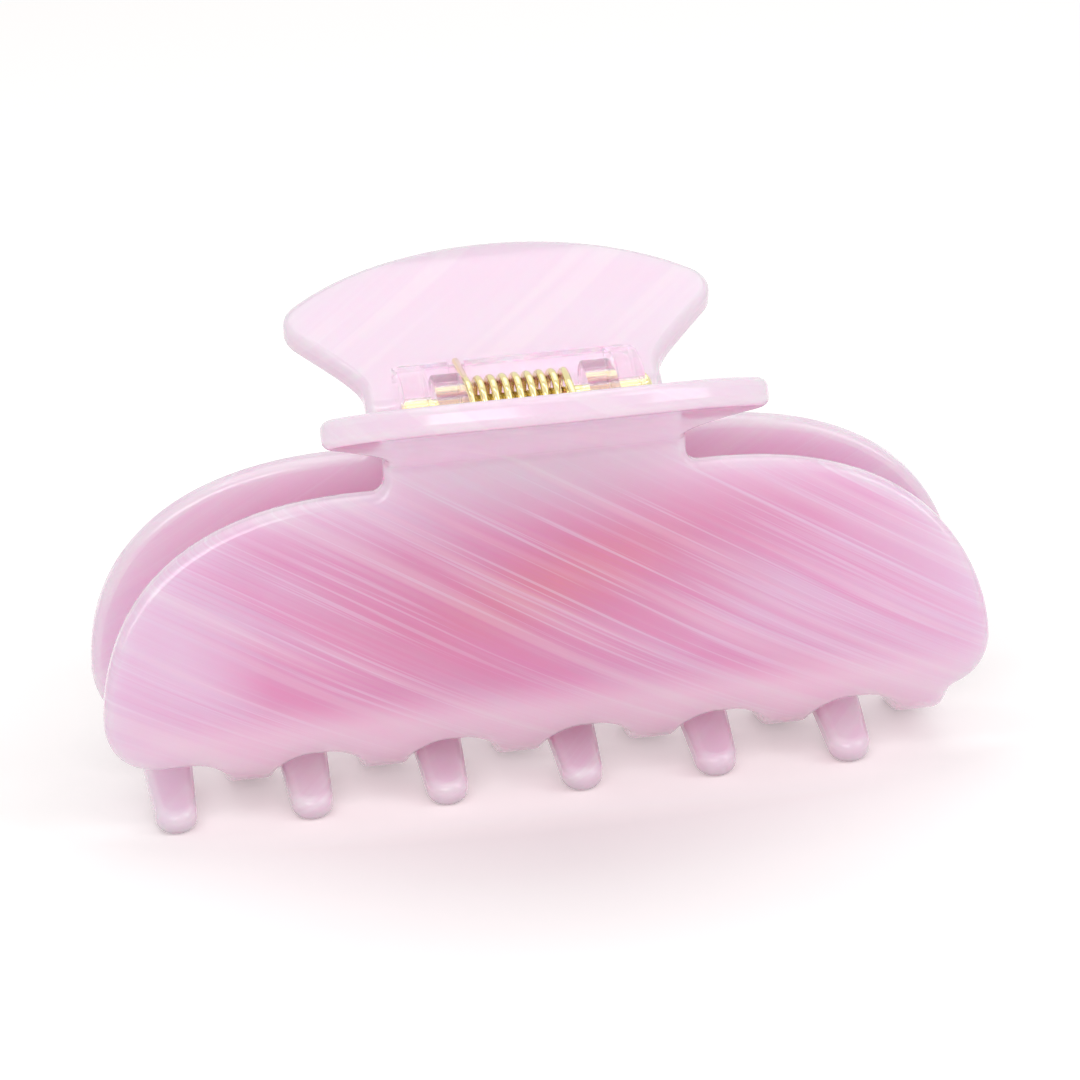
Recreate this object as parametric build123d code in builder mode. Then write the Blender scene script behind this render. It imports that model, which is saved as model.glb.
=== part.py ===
from build123d import *
from math import acos, asin, atan2, ceil, cos, degrees, hypot, pi, radians, sin, sqrt
import os

# A large claw clip: two bent plastic jaws with interleaving teeth, turning on a
# pin between two clear hinge leaves, closed by a coil spring round the pin.
# Millimetres. X runs along the pin, the front jaw is on the -Y side, +Z is up.
# Every piece is drawn about the hinge pin and then raised by pin_height, so the
# clip stands on its tooth tips with Z = 0 on the table.

# ---- jaw: the bent sheet, in section -------------------------------------------------
sheet_t = 3.0             # thickness of the plastic sheet
wall_offset = 7.2         # middle of the sheet from the pin, at the shoulders
shoulder_drop = 6.3       # shoulders below the pin
neck_rise = 1.9           # straight sheet above the shoulders, under the bend
wall_tilt = 6.7           # degrees that the upper wall leans outward
wall_length = 16.0        # upper wall, from the shoulders to the belly
belly_radius = 18.7       # belly, to the middle of the sheet
belly_angle = 34.5        # degrees
tooth_curl_radius = 11.1  # curl from the belly into the teeth
tooth_curl_angle = 49.2   # degrees
tooth_run = 14.0          # straight sheet left for the teeth, before the cut
bend_radius = 2.6         # bend between the neck and the handle
bend_angle = 60.0         # degrees
handle_radius = 63.0      # slow curve of the handle
handle_run = 27.0         # sheet left for the handle, before the cut

# ---- jaw: its outline ----------------------------------------------------------------
jaw_width = 96.6          # widest, along the pin
neck_width = 32.6         # between the two neck notches
notch_radius = 1.5        # round in each neck notch
shoulder_flat = 19.6      # shoulders are level this far out from the middle
shoulder_pull = 16.5      # how long the shoulder keeps to the level
side_pull = 16.3          # how long the side keeps upright
side_drop = 23.8          # widest point below the shoulders
corner_round = 6.0        # lower corners
handle_width = 49.9       # across the two handle corners, before they are rounded
handle_corner_rise = 12.6 # handle corners above the bend
handle_reach = 23.3       # top of the handle above the bend
waist_pull = 2.5          # how long the handle keeps to the width of the neck
flare_pull = (5.2, 6.8)   # how straight the handle flares into its corner
flare_start = 0.9         # the flare starts this far above the end of the bend
handle_corner_round = 3.6
edge_round = 1.0          # polished edges of the sheet

# ---- jaw: its comb of teeth ----------------------------------------------------------
tooth_count = 6
comb_margin = 11.375      # outer teeth in from the ends of the jaw, on average
root_below = 2.0          # sheet between the end of the belly and the root line
comb_bias = 0.65          # comb pushed off the even interleave by this much
tooth_root_width = 5.9
tooth_tip_width = 4.5
tooth_length = 17.0       # from the root line to the tip
comb_tilt = 62.0          # degrees below level that the comb is cut along
arch_flat = 1.17          # level crown of the arch between two teeth
flank_round = 1.5         # outer tooth against the lower corner

# ---- hinge ---------------------------------------------------------------------------
pin_d = 2.0
head_d = 3.2
head_t = 1.0
head_rim = 0.35           # straight side of the head, under its dome
head_gap = 0.1            # under the pin's head
pin_chamfer = 0.2         # on the end without a head
tight_fit = 0.02          # pin in the rear leaf, radial
running_fit = 0.06        # pin in the front leaf, radial
knuckle_round = 3.6       # nose of a knuckle, about the pin
knuckle_flat = 2.5        # level top behind the nose
knuckle_crest = 1.2       # round between the level top and the slope to the plate
knuckle_gap = 0.3         # between neighbouring knuckles
inner_knuckle = 3.3       # width of each knuckle of the front leaf
outer_knuckle = 3.0       # width of each knuckle of the rear leaf
spring_bay = 13.0         # room for the spring, between the inner knuckles
leaf_t = 1.2              # plate glued to the inside of a jaw
leaf_rise = 3.3           # plate on the handle, above the bend
leaf_drop = 5.0           # plate on the wall, below the neck
leaf_corner = 1.2         # rounded corners of the plate
knuckle_edge = 0.35       # small rounds on the knuckles
leg_slot_width = 1.8      # groove in the plate for a spring leg
leg_slot_depth = 0.6

# ---- spring --------------------------------------------------------------------------
wire_d = 0.85
coil_radius = 2.7         # to the middle of the wire
coil_turns = 8
coil_pitch = 1.33
leg_gap = 0.05            # wire to the floor of its groove
coil_side_gap = 0.1       # first turn to the knuckle beside it
quarter = 0.25            # of a turn, the longest stretch of wire drawn as one pair of arcs

beyond = 60.0             # longer than any cut that it is used for
past_neck = 2 * neck_rise # neck drawn this far above the shoulders, past its top
root_overlap = 2.0        # teeth drawn this far into the body
half_t = sheet_t / 2
tooth_pitch = (jaw_width - 2 * comb_margin) / (tooth_count - 1)
leaf_half = spring_bay / 2 + inner_knuckle + knuckle_gap + outer_knuckle
root_round = (tooth_pitch - tooth_root_width - arch_flat) / 2
comb_shift = tooth_pitch / 4 + comb_bias
plate_face = half_t + leaf_t
smooth_angle = 20         # faces that meet at less than this run on smoothly
close = 0.001


# ---- the sheet's section, in the YZ plane about the pin ------------------------------
# d is the distance from the middle of the sheet, positive towards the pin.
def neck_top(d):
    """Where the straight neck ends and the bend to the handle starts."""
    tilt = radians(wall_tilt)
    height = neck_rise - shoulder_drop
    middle = Vector(wall_offset - neck_rise * sin(tilt), height)
    return middle + Vector(-cos(tilt), -sin(tilt)) * d


def handle_path(d, run=handle_run):
    """Bend and handle, from the neck to this far up the handle."""
    tilt = radians(wall_tilt)
    bend = JernArc(neck_top(d), (-sin(tilt), cos(tilt)), bend_radius + d, -bend_angle)
    turn = degrees(run / handle_radius)
    return bend, JernArc(bend @ 1, bend % 1, handle_radius + d, -turn)


def body_path(d):
    """Upper wall, belly, curl and teeth, from the neck to the tooth tips."""
    tilt = radians(wall_tilt)
    top = neck_top(d)
    down = Vector(sin(tilt), -cos(tilt))
    wall = Line(top, top + down * (neck_rise + wall_length))
    belly = JernArc(wall @ 1, wall % 1, belly_radius - d, -belly_angle)
    curl = JernArc(belly @ 1, belly % 1, tooth_curl_radius - d, -tooth_curl_angle)
    return wall, belly, curl, Line(curl @ 1, curl @ 1 + (curl % 1) * tooth_run)


def sheet_section(path, d_out=-half_t, d_in=half_t):
    """Face of the sheet along a path, between two distances from its middle."""
    with BuildSketch(Plane.YZ) as section:
        with BuildLine():
            outer = path(d_out)
            inner = path(d_in)
            Line(outer[0] @ 0, inner[0] @ 0)
            Line(outer[-1] @ 1, inner[-1] @ 1)
        make_face()
    return section.sketch


# ---- planes that the outlines are cut on ---------------------------------------------
with BuildLine():
    bend_line, handle_line = handle_path(0)
    curl_line = body_path(0)[2]
bend_end = bend_line @ 1
handle_end = handle_line @ 1
root_point = curl_line.position_at(root_below, position_mode=PositionMode.LENGTH)

handle_slope = (handle_end - bend_end).normalized()
handle_plane = Plane(
    origin=(0, bend_end.X, bend_end.Y),
    x_dir=(1, 0, 0),
    z_dir=(0, -handle_slope.Y, handle_slope.X),
)
comb_cut = Vector(0, cos(radians(comb_tilt)), -sin(radians(comb_tilt)))
comb_plane = Plane(
    origin=(0, root_point.X, root_point.Y),
    x_dir=(1, 0, 0),
    z_dir=-comb_cut,
)

# ---- jaw moulding: body with its comb ------------------------------------------------
shoulder = -shoulder_drop
widest = shoulder - side_drop
half = jaw_width / 2
half_neck = neck_width / 2
half_root = tooth_root_width / 2
half_tip = tooth_tip_width / 2
tip_centre = tooth_length - half_tip

# one tooth, square to the comb's plane, pointing down from the root line
with BuildSketch() as tooth:
    with BuildLine():
        lean = acos(half_tip / hypot(half_root, tip_centre)) - atan2(tip_centre, half_root)
        tip_end = Vector(half_tip * cos(lean), -half_tip * sin(lean) - tip_centre)
        flank_run = (root_overlap - tip_end.Y) / cos(lean)
        flank = Line(tip_end + Vector(sin(lean), cos(lean)) * flank_run, tip_end)
        ThreePointArc(tip_end, (0, -tooth_length), (-tip_end.X, tip_end.Y))
        opposite = mirror(flank, about=Plane.YZ)
        Line(flank @ 0, opposite.edge() @ 0)
    make_face()

with BuildPart() as jaw_body:
    extrude(sheet_section(body_path), amount=jaw_width, both=True)

    # level shoulders that fall away to upright sides, and a stub of the neck on top
    with BuildSketch(Plane.XZ):
        with BuildLine():
            top = Line((0, shoulder), (shoulder_flat, shoulder))
            side = Bezier(
                top @ 1,
                (shoulder_flat + shoulder_pull, shoulder),
                (half, widest + side_pull),
                (half, widest),
            )
            drop = Line(side @ 1, (half, widest - beyond))
            Line(drop @ 1, (0, widest - beyond))
            mirror(about=Plane.YZ)
        make_face()
        with Locations((0, shoulder)):
            Rectangle(neck_width, 2 * past_neck)
        notches = vertices().filter_by(
            lambda v: abs(abs(v.X) - half_neck) < close and abs(v.Y - shoulder) < close
        )
        fillet(notches, notch_radius)
    extrude(amount=beyond, both=True, mode=Mode.INTERSECT)

    # lower corners, root line and teeth
    with BuildSketch(comb_plane):
        Rectangle(jaw_width, beyond, align=(Align.CENTER, Align.MIN))
        fillet(vertices().group_by(Axis.Y)[0], corner_round)
        with Locations((-comb_shift, 0)), GridLocations(tooth_pitch, 1, tooth_count, 1):
            add(tooth.sketch)
        level_end = half - corner_round
        arches = vertices().filter_by(lambda v: abs(v.Y) < close and abs(v.X) < level_end - close)
        fillet(arches, root_round)
        beside = vertices().filter_by(
            lambda v: close < v.Y < root_overlap and abs(v.X) > level_end
        )
        fillet(beside, flank_round)
    extrude(amount=beyond, both=True, mode=Mode.INTERSECT)

# ---- jaw moulding: the handle --------------------------------------------------------
with BuildPart() as jaw_handle:
    extrude(sheet_section(handle_path), amount=jaw_width, both=True)
    with BuildSketch(handle_plane):
        with BuildLine():
            neck = Line((half_neck, -beyond), (half_neck, flare_start))
            corner_point = Vector(handle_width / 2, handle_corner_rise)
            hollow = Bezier(
                neck @ 1,
                (half_neck, flare_start + waist_pull),
                corner_point - flare_pull,
                corner_point,
            )
            ThreePointArc(corner_point, (0, handle_reach), (-handle_width / 2, handle_corner_rise))
            mirror(neck, about=Plane.YZ)
            mirror(hollow, about=Plane.YZ)
            Line((-half_neck, -beyond), (half_neck, -beyond))
        make_face()
        corners = vertices().filter_by(lambda v: abs(v.Y - handle_corner_rise) < close)
        fillet(corners, handle_corner_round)
    extrude(amount=beyond, both=True, mode=Mode.INTERSECT)


def is_sharp(edge, faces):
    """True where two faces meet at an angle, not where one runs on into the next."""
    middle = edge @ 0.5
    normals = [face.normal_at(middle) for face in faces if edge in face.edges()]
    return len(normals) == 2 and normals[0].get_angle(normals[1]) > smooth_angle


def rim(part, d):
    """Edges round the face of the sheet that lies at this distance from its middle."""
    with BuildLine() as face_line:
        handle_path(d)
        body_path(d)
    faces = part.faces()
    sharp = part.edges().filter_by(lambda e: is_sharp(e, faces))
    return sharp.filter_by(
        lambda e: face_line.line.distance_to(Vector((e @ 0.5).Y, (e @ 0.5).Z)) < close
    )


with BuildPart() as jaw:
    add(jaw_body.part)
    add(jaw_handle.part)
    fillet(rim(jaw.part, -half_t), edge_round)
    fillet(rim(jaw.part, half_t), edge_round)

# ---- clear hinge leaves: a plate bent over the neck, and two knuckles ----------------
knuckle_top = Vector(knuckle_flat, knuckle_round)
knuckle_foot = Vector(0, -knuckle_round)


def leaf_path(d):
    """Plate of a hinge leaf, from the wall over the bend and up the handle."""
    tilt = radians(wall_tilt)
    top = neck_top(d)
    wall = Line(top + Vector(sin(tilt), -cos(tilt)) * leaf_drop, top)
    bend, rise = handle_path(d, leaf_rise)
    return wall, bend, rise


with BuildPart() as plate:
    extrude(sheet_section(leaf_path, half_t, plate_face), amount=leaf_half, both=True)
    plate_corners = edges().filter_by(lambda e: abs(e.length - leaf_t) < close)
    fillet(plate_corners, leaf_corner)

with BuildLine():
    plate_line = leaf_path(plate_face)
plate_foot = plate_line[0] @ 0
plate_rim = plate_line[-1] @ 1


def knuckles(start, width):
    """A pair of knuckles that begin this far out from the middle."""
    with BuildPart() as pair:
        with BuildSketch(Plane.YZ.offset(start)):
            Circle(knuckle_round)
            with BuildLine():
                Polyline(
                    (0, knuckle_round),
                    knuckle_top,
                    plate_rim,
                    (wall_offset, -knuckle_round),
                    knuckle_foot,
                    close=True,
                )
            make_face()
            crest = Plane.YZ.offset(start).from_local_coords(knuckle_top)
            fillet(vertices().sort_by_distance(crest)[0], knuckle_crest)
        extrude(amount=width)
        sheet = sheet_section(leaf_path, -half_t, half_t)
        extrude(sheet, amount=leaf_half, both=True, mode=Mode.SUBTRACT)
        ends = edges().filter_by(lambda e: abs(e.bounding_box().size.X) < close)
        nose = ends.filter_by(lambda e: (e @ 0.5).Y < plate_foot.X - close)
        fillet(nose, knuckle_edge)
        mirror(about=Plane.YZ)
    return pair.part


# ---- where each spring leg lies, in a groove of its plate ----------------------------
groove_floor = plate_face - leg_slot_depth
coil_start = (wire_d - spring_bay) / 2 + coil_side_gap
with BuildLine():
    leg_line = leaf_path(groove_floor + leg_gap + wire_d / 2)
leg_end = leg_line[-1] @ 1
lead = degrees(atan2(leg_end.Y, leg_end.X) - asin(coil_radius / leg_end.length))
coil_end = coil_start + coil_pitch * (coil_turns - 2 * lead / 360)


def groove(x):
    """Room for a spring leg, cut into the plate at this place along the pin."""
    with BuildPart() as room:
        section = sheet_section(leaf_path, groove_floor, plate_face + leaf_t)
        extrude(section, amount=leg_slot_width / 2, both=True)
    with BuildPart() as cut:
        with Locations((x, 0, 0)):
            add(room.part)
    return cut.part


with BuildPart() as front_leaf:
    add(plate.part)
    add(knuckles(spring_bay / 2, inner_knuckle))
    with BuildSketch(Plane.YZ):
        Circle(pin_d / 2 + running_fit)
    extrude(amount=jaw_width, both=True, mode=Mode.SUBTRACT)
    add(groove(-coil_end), mode=Mode.SUBTRACT)

with BuildPart() as rear_leaf:
    add(plate.part)
    add(knuckles(leaf_half - outer_knuckle, outer_knuckle))
    with BuildSketch(Plane.YZ):
        Circle(pin_d / 2 + tight_fit)
    extrude(amount=jaw_width, both=True, mode=Mode.SUBTRACT)
    add(groove(coil_start), mode=Mode.SUBTRACT)

# ---- spring: straight leg, close turns round the pin, straight leg -------------------
def on_coil(turn):
    """Point of the wire's middle, by the turns made since it passed over the top."""
    angle = radians(360 * turn)
    x = coil_start + coil_pitch * (turn - lead / 360)
    return Vector(x, -coil_radius * sin(angle), coil_radius * cos(angle))


def along_coil(turn, rise):
    """Direction of the wire there; a rise of 0 lies square to the pin."""
    angle = radians(360 * turn)
    round_pin = 2 * pi * coil_radius
    return Vector(rise, -round_pin * cos(angle), -round_pin * sin(angle)).normalized()


def biarc(start, start_way, end, end_way):
    """Two arcs that leave one point and reach the next in the given directions."""
    span = end - start
    both = span.dot(start_way + end_way)
    bend = 2 * (1 - start_way.dot(end_way))
    reach = (sqrt(both**2 + bend * span.dot(span)) - both) / bend
    middle = (start + end + (start_way - end_way) * reach) / 2
    first = TangentArc(start, middle, tangent=start_way)
    return first, TangentArc(middle, end, tangent=first % 1)


first_turn = lead / 360
last_turn = coil_turns - first_turn
steps = ceil((last_turn - first_turn) / quarter)
stops = [first_turn + (last_turn - first_turn) * i / steps for i in range(steps + 1)]
with BuildPart() as spring:
    with BuildLine() as wire_line:
        first_point = on_coil(first_turn)
        last_point = on_coil(last_turn)
        Line((first_point.X, leg_end.X, leg_end.Y), first_point)
        for begin, stop in zip(stops, stops[1:]):
            begin_way = along_coil(begin, coil_pitch if begin > first_turn else 0)
            stop_way = along_coil(stop, coil_pitch if stop < last_turn else 0)
            biarc(on_coil(begin), begin_way, on_coil(stop), stop_way)
        Line(last_point, (last_point.X, -leg_end.X, leg_end.Y))
    wire_path = wire_line.wire()
    with BuildSketch(Plane(origin=wire_path @ 0, z_dir=wire_path % 0)):
        Circle(wire_d / 2)
    sweep(path=wire_path)

samples = 1600            # points along the wire for its least gap
stride = 4
wire_run = wire_path.length / samples
points = [wire_path @ (i / samples) for i in range(samples + 1)]
apart = ceil(pi * coil_radius / wire_run)
least = min(
    (points[i] - points[j]).length
    for i in range(0, samples, stride)
    for j in range(i + apart, samples + 1)
)
print("spring: least gap to itself", round(least - wire_d, 3), "mm")
straight = pi * wire_d**2 / 4 * wire_path.length
print("spring: volume over section times length", round(spring.part.volume / straight, 6))

# ---- pin -----------------------------------------------------------------------------
with BuildPart() as pin:
    with BuildSketch(Plane.XY):
        with BuildLine():
            head_start = leaf_half + head_gap
            Polyline(
                (-leaf_half, 0),
                (-leaf_half, pin_d / 2 - pin_chamfer),
                (pin_chamfer - leaf_half, pin_d / 2),
                (head_start, pin_d / 2),
                (head_start, head_d / 2),
            )
            rim_end = (head_start + head_rim, head_d / 2)
            crown = (head_start + head_t, 0)
            Line((head_start, head_d / 2), rim_end)
            TangentArc(crown, rim_end, tangent=(0, 1))
            Line(crown, (-leaf_half, 0))
        make_face()
    revolve(axis=Axis.X)

# ---- every piece in its place, standing on the tooth tips ----------------------------
pin_height = -jaw.part.bounding_box().min.Z
upright = Location((0, 0, pin_height))
turned = Location((0, 0, pin_height), (0, 0, 180))

with BuildPart() as rear_jaw:
    with Locations(upright):
        add(jaw.part)

with BuildPart() as front_jaw:
    with Locations(turned):
        add(jaw.part)

with BuildPart() as rear_hinge_leaf:
    with Locations(upright):
        add(rear_leaf.part)

with BuildPart() as front_hinge_leaf:
    with Locations(turned):
        add(front_leaf.part)

with BuildPart() as hinge_pin:
    with Locations(upright):
        add(pin.part)

with BuildPart() as torsion_spring:
    with Locations(upright):
        add(spring.part)

front_jaw.part.label = "front_jaw"
rear_jaw.part.label = "rear_jaw"
front_hinge_leaf.part.label = "front_hinge_leaf"
rear_hinge_leaf.part.label = "rear_hinge_leaf"
hinge_pin.part.label = "hinge_pin"
torsion_spring.part.label = "torsion_spring"

os.makedirs("parts", exist_ok=True)
export_step(front_jaw.part, "parts/front_jaw.step")
export_step(rear_jaw.part, "parts/rear_jaw.step")
export_step(front_hinge_leaf.part, "parts/front_hinge_leaf.step")
export_step(rear_hinge_leaf.part, "parts/rear_hinge_leaf.step")
export_step(hinge_pin.part, "parts/hinge_pin.step")
export_step(torsion_spring.part, "parts/torsion_spring.step")
print("pin height", round(pin_height, 4), "mm")
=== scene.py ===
import math

import bpy
from mathutils import Matrix, Vector


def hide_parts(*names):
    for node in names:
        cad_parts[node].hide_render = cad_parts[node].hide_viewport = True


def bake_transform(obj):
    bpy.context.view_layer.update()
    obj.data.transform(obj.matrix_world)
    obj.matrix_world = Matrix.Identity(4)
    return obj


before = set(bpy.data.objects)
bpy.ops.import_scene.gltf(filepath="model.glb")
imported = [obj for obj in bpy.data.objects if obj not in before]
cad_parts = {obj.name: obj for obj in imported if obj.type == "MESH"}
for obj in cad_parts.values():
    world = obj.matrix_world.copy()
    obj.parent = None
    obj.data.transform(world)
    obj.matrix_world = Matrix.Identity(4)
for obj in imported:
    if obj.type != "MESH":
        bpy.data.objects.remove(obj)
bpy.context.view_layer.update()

scene = bpy.context.scene
MM = 0.001

# ---- camera: the photograph's viewing angle --------------------------------------
IMAGE_SIDE = 1080
SENSOR = 36.0                              # wide, in mm
LOOK_AT = Vector((0.0, 0.0, 40.19)) * MM   # just under the hinge pin
TURN = math.radians(-7.10)                 # round the clip, from square on
RISE = math.radians(19.56)                 # above the table
ROLL = math.radians(3.46)
DISTANCE = 650.0 * MM
OFFSET = Vector((-1.757, 13.224)) * MM     # where LOOK_AT lands, from the middle of the view
FOCAL_PIXELS = 6032.6                      # focal length, in pixels of the photograph


def add_camera():
    """The camera that took the photograph, as fitted to it."""
    back = Vector((math.sin(TURN) * math.cos(RISE), -math.cos(TURN) * math.cos(RISE), math.sin(RISE)))
    level = Vector((math.cos(TURN), math.sin(TURN), 0.0))
    upward = back.cross(level)
    right = level * math.cos(ROLL) - upward * math.sin(ROLL)
    up = level * math.sin(ROLL) + upward * math.cos(ROLL)
    place = LOOK_AT + back * DISTANCE - right * OFFSET.x - up * OFFSET.y
    data = bpy.data.cameras.new("camera")
    data.sensor_width = SENSOR
    data.lens = FOCAL_PIXELS / IMAGE_SIDE * SENSOR
    data.clip_start = 0.05
    data.clip_end = 10.0
    camera = bpy.data.objects.new("camera", data)
    scene.collection.objects.link(camera)
    turn = Matrix((right, up, back)).transposed().to_4x4()
    camera.matrix_world = Matrix.Translation(place) @ turn
    scene.camera = camera


add_camera()


# ---- colour and nodes ------------------------------------------------------------
def linear(code):
    """An sRGB colour, written as hex, in the linear values that a shader takes."""
    parts = [int(code[i : i + 2], 16) / 255 for i in (0, 2, 4)]
    return tuple(c / 12.92 if c <= 0.04045 else ((c + 0.055) / 1.055) ** 2.4 for c in parts) + (1.0,)


def add_node(tree, kind, settings=None, sockets=None):
    """A node with its settings; each socket gets a value, or reads another node's output."""
    node = tree.nodes.new(kind)
    for name, value in (settings or {}).items():
        setattr(node, name, value)
    for name, value in (sockets or {}).items():
        if isinstance(value, bpy.types.NodeSocket):
            tree.links.new(value, node.inputs[name])
        else:
            node.inputs[name].default_value = value
    return node


def new_material(name):
    """An empty node material with its output."""
    material = bpy.data.materials.new(name)
    material.use_nodes = True
    tree = material.node_tree
    tree.nodes.clear()
    return material, tree, tree.nodes.new("ShaderNodeOutputMaterial")


def soft_egg(tree, place, centre, size, turn=0.0):
    """1 at the centre, falling to 0 at the edge of an egg of this half size."""
    inside = add_node(
        tree,
        "ShaderNodeMapping",
        {"vector_type": "TEXTURE"},
        {"Vector": place, "Location": centre, "Rotation": (0.0, turn, 0.0), "Scale": size},
    )
    egg = add_node(
        tree,
        "ShaderNodeTexGradient",
        {"gradient_type": "SPHERICAL"},
        {"Vector": inside.outputs["Vector"]},
    )
    return egg.outputs["Fac"]


# ---- pearl acetate ---------------------------------------------------------------
# Cellulose acetate cast with pearl, sliced into sheet, cut and bent hot, then tumbled to a
# gloss: a milky pink that light soaks into, with soft lilac bands and hairlines of pearl
# that all run one way. Painted shade deepens the heart of the belly and darkens the handles'
# upper faces; painted light makes the ends, handles, inside and comb paler, warms the belly
# high up and puts a highlight at one end. The streaks are as wide as pearl pigment drags
# out in cast sheet, from bands of 9 mm to hairs of 0.3 mm.
BASE = "DEA4C5"
LEAN = math.radians(10)      # the sheet leans back from the belly to the neck
FALL = math.radians(30)      # the pearl falls this much to the right
WAVE_LENGTH = 65.0 * MM      # the streaks wander slowly, and only a little
WAVE_HEIGHT = 1.0 * MM

# one layer of streaks: length, depth and width in mm, noise detail, where the colour begins
# and is full, how much of it there is, its colour
STREAKS = (
    ((95.0, 95.0, 9.0), 1.0, 0.42, 0.60, 0.55, "DDB8D2"),      # broad bands of grey lilac
    ((62.0, 60.0, 2.6), 2.0, 0.50, 0.63, 0.60, "DBB8D3"),      # lilac streaks
    ((56.0, 60.0, 1.9), 2.0, 0.50, 0.36, 0.45, "E49AC1"),      # pink streaks between them
    ((50.0, 60.0, 0.8), 2.0, 0.53, 0.66, 0.30, "E6CBDF"),      # pale lines
)
# hairlines, written the same way
HAIRLINES = (
    ((40.0, 60.0, 0.38), 2.0, 0.52, 0.64, 0.50, "E8D3E4"),
    ((36.0, 60.0, 0.32), 1.0, 0.48, 0.34, 0.40, "DC90BD"),
)
BUNDLE = (80.0, 80.0, 6.0)   # the hairlines lie in bundles of this size, in mm
BUNDLE_SEEN = (0.32, 0.56)   # where a bundle begins and is full
# soft cream bands over all the rest, so that they also show on the handles and the inside
CREAM = (((64.0, 60.0, 2.0), 1.0, 0.50, 0.66, 0.21, "F8E6E9"),)
# soft patches of painted light and shade; each row: middle and half size in mm, on the unturned jaw,
# how much of it, its colour
PATCH_TURN = math.radians(15)
PAINTED_LIGHT_AND_SHADE = (
    ((0.0, 12.0, 25.0), (37.0, 30.0, 13.5), 0.90, "D57DA4"),    # painted shade: the deeper heart of the belly
    ((-2.0, 12.0, 25.0), (17.0, 24.0, 5.0), 0.35, "E79C98"),    # painted light: a warm glow high on the belly
    ((40.0, 8.0, 23.0), (9.0, 30.0, 17.0), 0.50, "E6D9EA"),     # painted highlight at one end
)
# one slow change of colour: direction, where it begins and is full in mm, how much, its colour
FADES = (
    ((0.0, 0.993, 0.117), 12.2, 10.0, 0.72, "FFD4E3"),     # painted light: the inside of the wall and the whole comb painted lighter
    ((1.0, 0.0, 0.0), 28.0, 50.0, 0.60, "E7CEE1"),         # painted light: one end paler
    ((-1.0, 0.0, 0.0), 28.0, 50.0, 0.60, "E7CEE1"),        # painted light: the other end paler
    ((0.0, 0.0, 1.0), 28.0, 41.0, 0.80, "F1DDE9"),         # painted light: the handles paler
    ((0.0, 0.0, 1.0), 46.0, 51.0, 0.50, "F0C6DB"),         # their far edges
    ((0.0, -0.45, 0.89), 32.6, 34.4, 0.40, "E6D3E0"),      # painted shade: their upper faces darker, where the ceiling lamp falls on them
)


def pearl_streaks(tree, flow, cell, detail, begin, full):
    """0 to 1 across streaks that are as long, deep and wide as the cell."""
    stretch = add_node(
        tree,
        "ShaderNodeVectorMath",
        {"operation": "DIVIDE"},
        {0: flow, 1: Vector(cell) * MM},
    )
    noise = add_node(
        tree,
        "ShaderNodeTexNoise",
        None,
        {"Vector": stretch.outputs["Vector"], "Scale": 1.0, "Detail": detail},
    )
    step = add_node(
        tree,
        "ShaderNodeMapRange",
        {"interpolation_type": "SMOOTHSTEP"},
        {"Value": noise.outputs["Fac"], "From Min": begin, "From Max": full},
    )
    return step.outputs["Result"]


def tinted(tree, below, share, most, tint):
    """The colour below with this share of a tint over it, at most so much."""
    amount = add_node(tree, "ShaderNodeMath", {"operation": "MULTIPLY"}, {0: share, 1: most})
    mix = add_node(
        tree,
        "ShaderNodeMix",
        {"data_type": "RGBA"},
        {0: amount.outputs["Value"], 6: below, 7: linear(tint)},
    )
    return mix.outputs[2]


def streaked(tree, colour, flow, layers):
    """The colour with these layers of streaks over it."""
    for cell, detail, begin, full, most, tint in layers:
        share = pearl_streaks(tree, flow, cell, detail, begin, full)
        colour = tinted(tree, colour, share, most, tint)
    return colour


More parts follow.
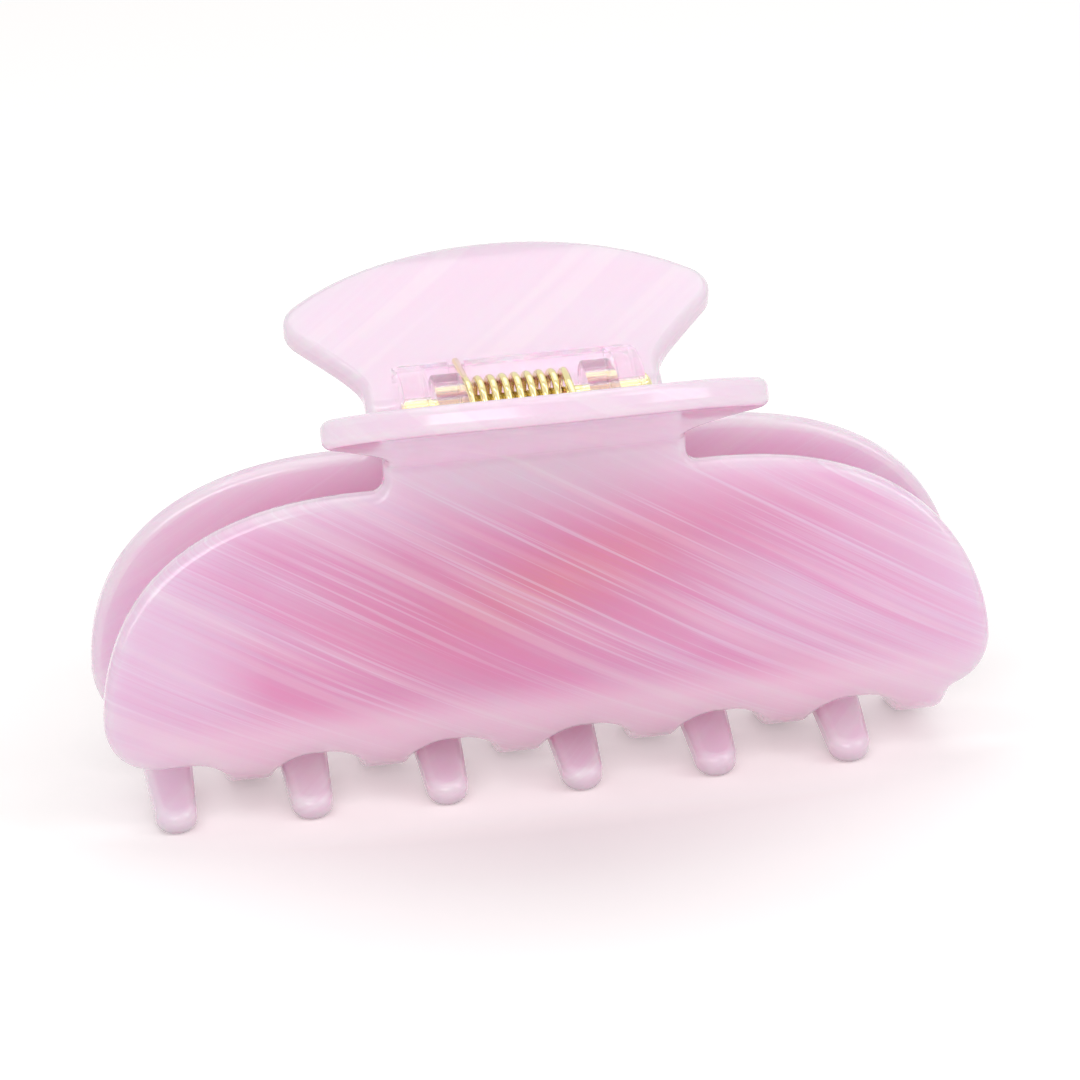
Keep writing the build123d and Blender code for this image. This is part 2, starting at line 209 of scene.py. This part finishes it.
def pearl_acetate(name, side):
    """Pearl acetate; side is 1 for the jaw that stands as drawn, -1 for the one turned half round."""
    material, tree, out = new_material(name)
    place = add_node(tree, "ShaderNodeTexCoord")
    sheet = add_node(
        tree,
        "ShaderNodeMapping",
        {"vector_type": "POINT"},
        {"Vector": place.outputs["Object"], "Scale": (side, side, 1.0)},
    ).outputs["Vector"]
    flow = add_node(
        tree,
        "ShaderNodeMapping",
        {"vector_type": "POINT"},
        {"Vector": sheet, "Rotation": (LEAN, FALL, 0.0)},
    ).outputs["Vector"]
    wander = add_node(
        tree,
        "ShaderNodeTexNoise",
        None,
        {"Vector": flow, "Scale": 1.0 / WAVE_LENGTH, "Detail": 1.0},
    )
    wave = add_node(
        tree,
        "ShaderNodeMath",
        {"operation": "MULTIPLY"},
        {0: wander.outputs["Fac"], 1: WAVE_HEIGHT},
    )
    lift = add_node(tree, "ShaderNodeCombineXYZ", None, {"Z": wave.outputs["Value"]})
    flow = add_node(
        tree,
        "ShaderNodeVectorMath",
        {"operation": "ADD"},
        {0: flow, 1: lift.outputs["Vector"]},
    ).outputs["Vector"]

    colour = linear(BASE)
    colour = streaked(tree, colour, flow, STREAKS)
    # painted light and shade: the belly's heart, its warm glow and the highlight at one end
    for centre, size, most, tint in PAINTED_LIGHT_AND_SHADE:
        painted_patch = soft_egg(tree, sheet, Vector(centre) * MM, Vector(size) * MM, PATCH_TURN)
        colour = tinted(tree, colour, painted_patch, most, tint)
    bundle = pearl_streaks(tree, flow, BUNDLE, 1.0, *BUNDLE_SEEN)
    for cell, detail, begin, full, most, tint in HAIRLINES:
        line = pearl_streaks(tree, flow, cell, detail, begin, full)
        share = add_node(tree, "ShaderNodeMath", {"operation": "MULTIPLY"}, {0: line, 1: bundle})
        colour = tinted(tree, colour, share.outputs["Value"], most, tint)
    # slow changes of colour, most of them painted light and shade
    for toward, begin, full, most, tint in FADES:
        reach = add_node(
            tree,
            "ShaderNodeVectorMath",
            {"operation": "DOT_PRODUCT"},
            {0: sheet, 1: toward},
        )
        fade = add_node(
            tree,
            "ShaderNodeMapRange",
            {"interpolation_type": "SMOOTHSTEP"},
            {"Value": reach.outputs["Value"], "From Min": begin * MM, "From Max": full * MM},
        )
        colour = tinted(tree, colour, fade.outputs["Result"], most, tint)
    colour = streaked(tree, colour, flow, CREAM)

    shader = add_node(
        tree,
        "ShaderNodeBsdfPrincipled",
        None,
        {
            "Base Color": colour,
            "Roughness": 0.11,
            "IOR": 1.48,
            "Subsurface Weight": 1.0,
            "Subsurface Radius": (1.0, 0.55, 0.75),
            "Subsurface Scale": 10.0 * MM,
            "Coat Weight": 0.5,
            "Coat Roughness": 0.03,
        },
    )
    tree.links.new(shader.outputs["BSDF"], out.inputs["Surface"])
    return material


# ---- clear acrylic ---------------------------------------------------------------
# Clear acrylic, injection moulded and cemented to the jaws: water clear, so the eye has only
# its bright edges, what it bends, and a faint wave that the mould's filling left.
FILLING = 2.5 * MM           # from one ripple of the filling to the next
FILLING_DEPTH = 0.05 * MM
ACRYLIC_IOR = 1.3            # acrylic has 1.49, at which these small knuckles render too dark
ACRYLIC_BODY = 0.65          # this share of it bends and reflects, the rest is seen straight through


def clear_acrylic():
    """Clear acrylic, which lets the lamps' light through to what lies behind it."""
    material, tree, out = new_material("clear_acrylic")
    place = add_node(tree, "ShaderNodeTexCoord")
    filling = add_node(
        tree,
        "ShaderNodeTexNoise",
        None,
        {"Vector": place.outputs["Object"], "Scale": 1.0 / FILLING, "Detail": 1.0},
    )
    wave = add_node(
        tree,
        "ShaderNodeBump",
        None,
        {"Height": filling.outputs["Fac"], "Strength": 0.3, "Distance": FILLING_DEPTH},
    )
    glass = add_node(
        tree,
        "ShaderNodeBsdfPrincipled",
        None,
        {
            "Base Color": linear("FDF4F9"),
            "Roughness": 0.04,
            "IOR": ACRYLIC_IOR,
            "Transmission Weight": 1.0,
            "Alpha": ACRYLIC_BODY,
            "Normal": wave.outputs["Normal"],
        },
    )
    clear = add_node(tree, "ShaderNodeBsdfTransparent", None, {"Color": linear("FBF0F6")})
    path = add_node(tree, "ShaderNodeLightPath")
    lit = add_node(
        tree,
        "ShaderNodeMixShader",
        None,
        {0: path.outputs["Is Shadow Ray"], 1: glass.outputs["BSDF"], 2: clear.outputs["BSDF"]},
    )
    tree.links.new(lit.outputs["Shader"], out.inputs["Surface"])
    return material


# ---- gold plate ------------------------------------------------------------------
# Steel wire and rod, drawn through a die and plated with bright gold: clean highlights on a
# pale gold, a little duller where the die dragged. The drag marks are hundredths of a
# millimetre wide, too fine to show, so they are drawn as patches of 0.6 mm.
DRAG = 0.6 * MM
POLISH = (0.03, 0.09)        # roughness of the brightest and of the dullest patches


def gold_plate():
    """Bright gold plate."""
    material, tree, out = new_material("gold_plated_steel")
    place = add_node(tree, "ShaderNodeTexCoord")
    drawn = add_node(
        tree,
        "ShaderNodeTexNoise",
        None,
        {"Vector": place.outputs["Object"], "Scale": 1.0 / DRAG, "Detail": 2.0},
    )
    dull = add_node(
        tree,
        "ShaderNodeMapRange",
        None,
        {"Value": drawn.outputs["Fac"], "To Min": POLISH[0], "To Max": POLISH[1]},
    )
    shader = add_node(
        tree,
        "ShaderNodeBsdfPrincipled",
        None,
        {
            "Base Color": linear("EADCA6"),
            "Metallic": 1.0,
            "Roughness": dull.outputs["Result"],
        },
    )
    tree.links.new(shader.outputs["BSDF"], out.inputs["Surface"])
    return material


def dress(node, material):
    """Gives a CAD node its finish."""
    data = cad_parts[node].data
    data.materials.clear()
    data.materials.append(material)


dress("rear_jaw", pearl_acetate("pearl_acetate_rear", 1.0))
dress("front_jaw", pearl_acetate("pearl_acetate_front", -1.0))
clear = clear_acrylic()
dress("front_hinge_leaf", clear)
dress("rear_hinge_leaf", clear)
gold = gold_plate()
dress("hinge_pin", gold)


# ---- spring --------------------------------------------------------------------------
WELD = 0.001 * MM            # corners of neighbouring faces that are this close are one
ROUNDED = math.radians(40)   # faces that meet at less than this look like one curve


def add_spring(material):
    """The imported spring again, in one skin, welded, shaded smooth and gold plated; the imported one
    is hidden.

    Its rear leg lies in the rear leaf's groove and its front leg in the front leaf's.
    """
    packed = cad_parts["torsion_spring"]
    spring = bpy.data.objects.new("wound_spring", packed.data.copy())
    scene.collection.objects.link(spring)
    bpy.ops.object.select_all(action="DESELECT")
    spring.select_set(True)
    bpy.context.view_layer.objects.active = spring
    bpy.ops.object.mode_set(mode="EDIT")
    bpy.ops.mesh.select_all(action="SELECT")
    bpy.ops.mesh.remove_doubles(threshold=WELD)
    bpy.ops.object.mode_set(mode="OBJECT")
    bpy.ops.object.shade_smooth_by_angle(angle=ROUNDED)
    spring.data.materials.clear()
    spring.data.materials.append(material)
    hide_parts("torsion_spring")
    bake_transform(spring)


add_spring(gold)


# ---- table, room and lamps -----------------------------------------------------------
TABLE_SIDE = 3.0             # metres
# the glow shows only where the table is seen, so that the open table is white and the
# clip's shadow stays: little round the clip and more away from it, which paints a broad
# soft shadow round the clip, and under it a painted pool of light that stands for the
# light that a real sheet lets through
GLOW_IN_PAINTED_SHADOW = 0.02
GLOW_AWAY = 0.30
PAINTED_SHADOW_SIZE = Vector((82.0, 84.0, 20.0)) * MM
LIGHT_THROUGH = 0.34
THROUGH_SIZE = Vector((56.0, 20.0, 20.0)) * MM
ROOM_LIGHT = 0.48            # how much the room lights the clip
ROOM_SEEN = 1.0              # how bright the room is where it is seen
CLIP_MIDDLE = Vector((0.0, 0.0, 0.03))


def seen_rays(tree):
    """1 for rays that show the surroundings: to the camera, off a gloss, through the clear leaves."""
    path = add_node(tree, "ShaderNodeLightPath")
    seen = path.outputs["Is Camera Ray"]
    for kind in ("Is Glossy Ray", "Is Transmission Ray"):
        either = add_node(
            tree,
            "ShaderNodeMath",
            {"operation": "MAXIMUM"},
            {0: seen, 1: path.outputs[kind]},
        )
        seen = either.outputs["Value"]
    return seen


def add_table():
    """White board under the clip: matt, so that it takes the soft shadow and nothing else; its glow
    paints a broad shadow round the clip and a pool of light under it.
    """
    bpy.ops.object.select_all(action="DESELECT")
    bpy.ops.mesh.primitive_plane_add(size=TABLE_SIDE, location=(0.0, 0.0, 0.0))
    table = bpy.context.active_object
    table.name = "table"
    material, tree, out = new_material("white_table")
    paper = add_node(tree, "ShaderNodeBsdfDiffuse", None, {"Color": linear("F3F0EF")})
    place = add_node(tree, "ShaderNodeTexCoord").outputs["Object"]
    middle = (0.0, 0.0, 0.0)
    # painted shadow: the glow falls away round the clip
    painted_shadow_glow = add_node(
        tree,
        "ShaderNodeMapRange",
        {"interpolation_type": "SMOOTHSTEP"},
        {
            "Value": soft_egg(tree, place, middle, PAINTED_SHADOW_SIZE),
            "To Min": GLOW_AWAY,
            "To Max": GLOW_IN_PAINTED_SHADOW,
        },
    )
    # painted pool of light under the clip
    under = soft_egg(tree, place, middle, THROUGH_SIZE)
    through = add_node(
        tree,
        "ShaderNodeMath",
        {"operation": "MULTIPLY_ADD"},
        {0: under, 1: LIGHT_THROUGH, 2: painted_shadow_glow.outputs["Result"]},
    )
    lift = add_node(
        tree,
        "ShaderNodeMath",
        {"operation": "MULTIPLY"},
        {0: seen_rays(tree), 1: through.outputs["Value"]},
    )
    glow = add_node(tree, "ShaderNodeEmission", None, {"Strength": lift.outputs["Value"]})
    both = add_node(
        tree,
        "ShaderNodeAddShader",
        None,
        {0: paper.outputs["BSDF"], 1: glow.outputs["Emission"]},
    )
    tree.links.new(both.outputs["Shader"], out.inputs["Surface"])
    table.data.materials.append(material)


def add_lamp(name, place, size, power):
    """A soft box that looks at the clip."""
    data = bpy.data.lights.new(name, "AREA")
    data.shape = "RECTANGLE"
    data.size, data.size_y = size
    data.energy = power
    lamp = bpy.data.objects.new(name, data)
    scene.collection.objects.link(lamp)
    lamp.location = place
    aim = CLIP_MIDDLE - Vector(place)
    lamp.rotation_mode = "QUATERNION"
    lamp.rotation_quaternion = aim.to_track_quat("-Z", "Y")


def set_room():
    """A white room, brighter where it is seen than it lights the clip."""
    world = bpy.data.worlds.new("studio")
    scene.world = world
    world.use_nodes = True
    tree = world.node_tree
    tree.nodes.clear()
    out = tree.nodes.new("ShaderNodeOutputWorld")
    strength = add_node(
        tree,
        "ShaderNodeMapRange",
        None,
        {"Value": seen_rays(tree), "To Min": ROOM_LIGHT, "To Max": ROOM_SEEN},
    )
    room = add_node(
        tree,
        "ShaderNodeBackground",
        None,
        {"Color": linear("FFFFFF"), "Strength": strength.outputs["Result"]},
    )
    tree.links.new(room.outputs["Background"], out.inputs["Surface"])


add_table()
set_room()
add_lamp("ceiling_box", (0.0, 0.22, 0.72), (0.7, 0.5), 1.25)
add_lamp("front_box", (-0.3, -0.75, 0.32), (0.6, 0.35), 2.0)
add_lamp("right_box", (0.55, -0.35, 0.45), (0.3, 0.6), 1.2)
add_lamp("front_strip", (-0.1, -0.25, 0.65), (0.5, 0.06), 0.5)

scene.view_settings.view_transform = "Standard"
